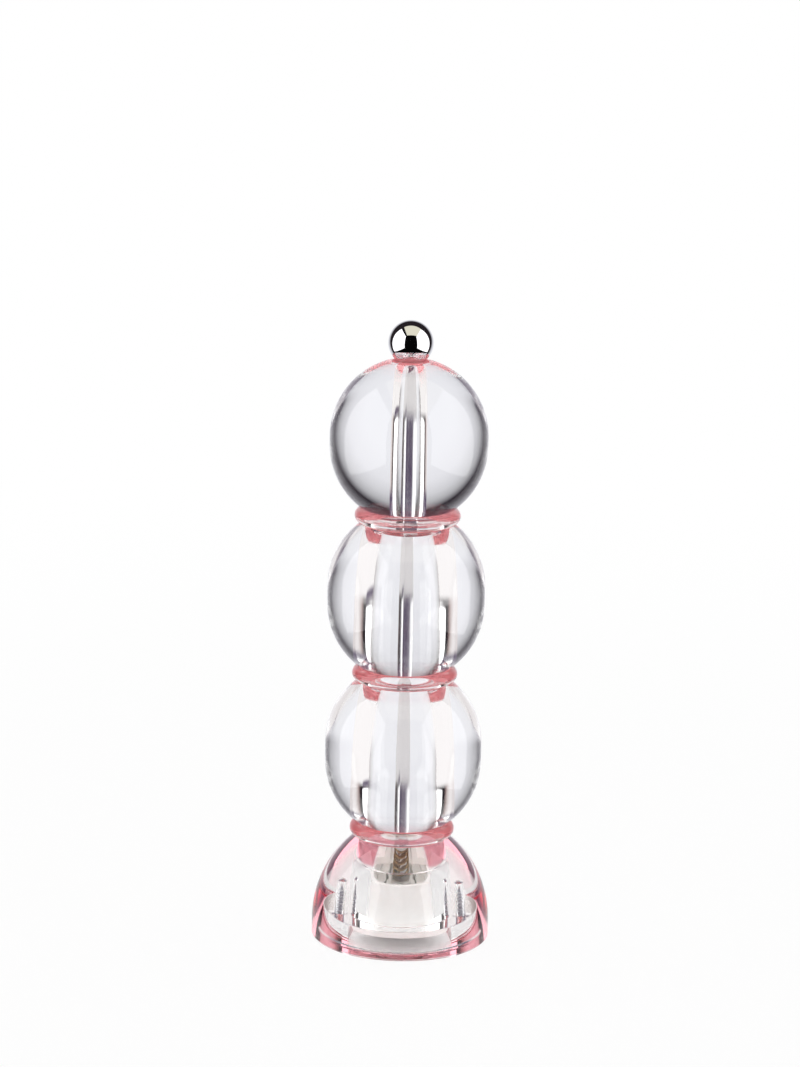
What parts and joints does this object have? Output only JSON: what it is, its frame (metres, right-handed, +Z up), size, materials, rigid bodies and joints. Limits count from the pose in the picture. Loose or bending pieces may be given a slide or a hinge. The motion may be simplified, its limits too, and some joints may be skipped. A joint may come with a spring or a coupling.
{
  "type": "pepper mill",
  "caption": "Hand pepper mill: clear acrylic balls and beads joined by thin pink rings on a domed foot, chrome ball knob, square spindle and spring-loaded ceramic grinder.",
  "frame": {"origin": "centre of the foot's underside, on the surface the mill stands on", "axes": "+Z up along the spindle; the two flange screws lie on the X axis"},
  "size_m": [0.0684, 0.0684, 0.2407],
  "materials": {
    "clear_acrylic": "polished clear acrylic",
    "pink_bond": "thin pink-dyed clear acrylic",
    "chrome_plate": "bright chrome plate",
    "spindle_steel": "drawn bright bar",
    "washer_steel": "stamped steel",
    "spring_wire": "bronze-coloured drawn wire",
    "pale_plastic": "translucent moulded",
    "white_plastic": "white moulded",
    "ceramic": "fired white ceramic",
    "screw_steel": "zinc-plated"
  },
  "bodies": {
    "mill_body": {"base_ring": "pink_bond", "foot": "clear_acrylic", "lower_ring_below": "pink_bond", "lower_collar": "clear_acrylic", "lower_ring_above": "pink_bond", "lower_ball": "clear_acrylic", "middle_ring_below": "pink_bond", "middle_collar": "clear_acrylic", "middle_ring_above": "pink_bond", "upper_ball": "clear_acrylic", "upper_ring": "pink_bond", "upper_collar": "clear_acrylic", "spring_bridge": "pale_plastic", "grinder_housing": "white_plastic", "stator": "ceramic", "stator_retainer": "white_plastic", "flange_screws": "screw_steel"},
    "spring_pack": {"thrust_washer": "washer_steel", "spring": "spring_wire"},
    "spindle_set": {"spindle": "spindle_steel", "spring_seat": "washer_steel", "rotor": "ceramic", "rotor_carrier": "white_plastic", "rotor_washer": "washer_steel", "rotor_screw": "screw_steel"},
    "head": {"head_plug": "clear_acrylic", "plug_ring": "pink_bond", "head_ball": "clear_acrylic", "knob_ring": "pink_bond"},
    "knob": {"adjusting_knob": "chrome_plate"}
  },
  "joints": [
    {"name": "grind_turn", "type": "hinge", "parent": "mill_body", "child": "spring_pack", "pos_m": [0, 0, 0.03], "axis": [0, 0, 1], "continuous": true},
    {"name": "grind_setting", "type": "slide", "parent": "spring_pack", "child": "spindle_set", "axis": [0, 0, 1], "range_m": [0, 0.001], "deforming": ["spring"]},
    {"name": "head_lift", "type": "slide", "parent": "spring_pack", "child": "head", "axis": [0, 0, 1], "range_m": [0, 0.09]},
    {"name": "knob_turn", "type": "hinge", "parent": "head", "child": "knob", "pos_m": [0, 0, 0.2325], "axis": [0, 0, 1], "range_deg": [-515, 0]}
  ],
  "couplings": [
    {"joint": "knob_turn", "follows": "grind_setting", "rad_per_m": -8976}
  ]
}
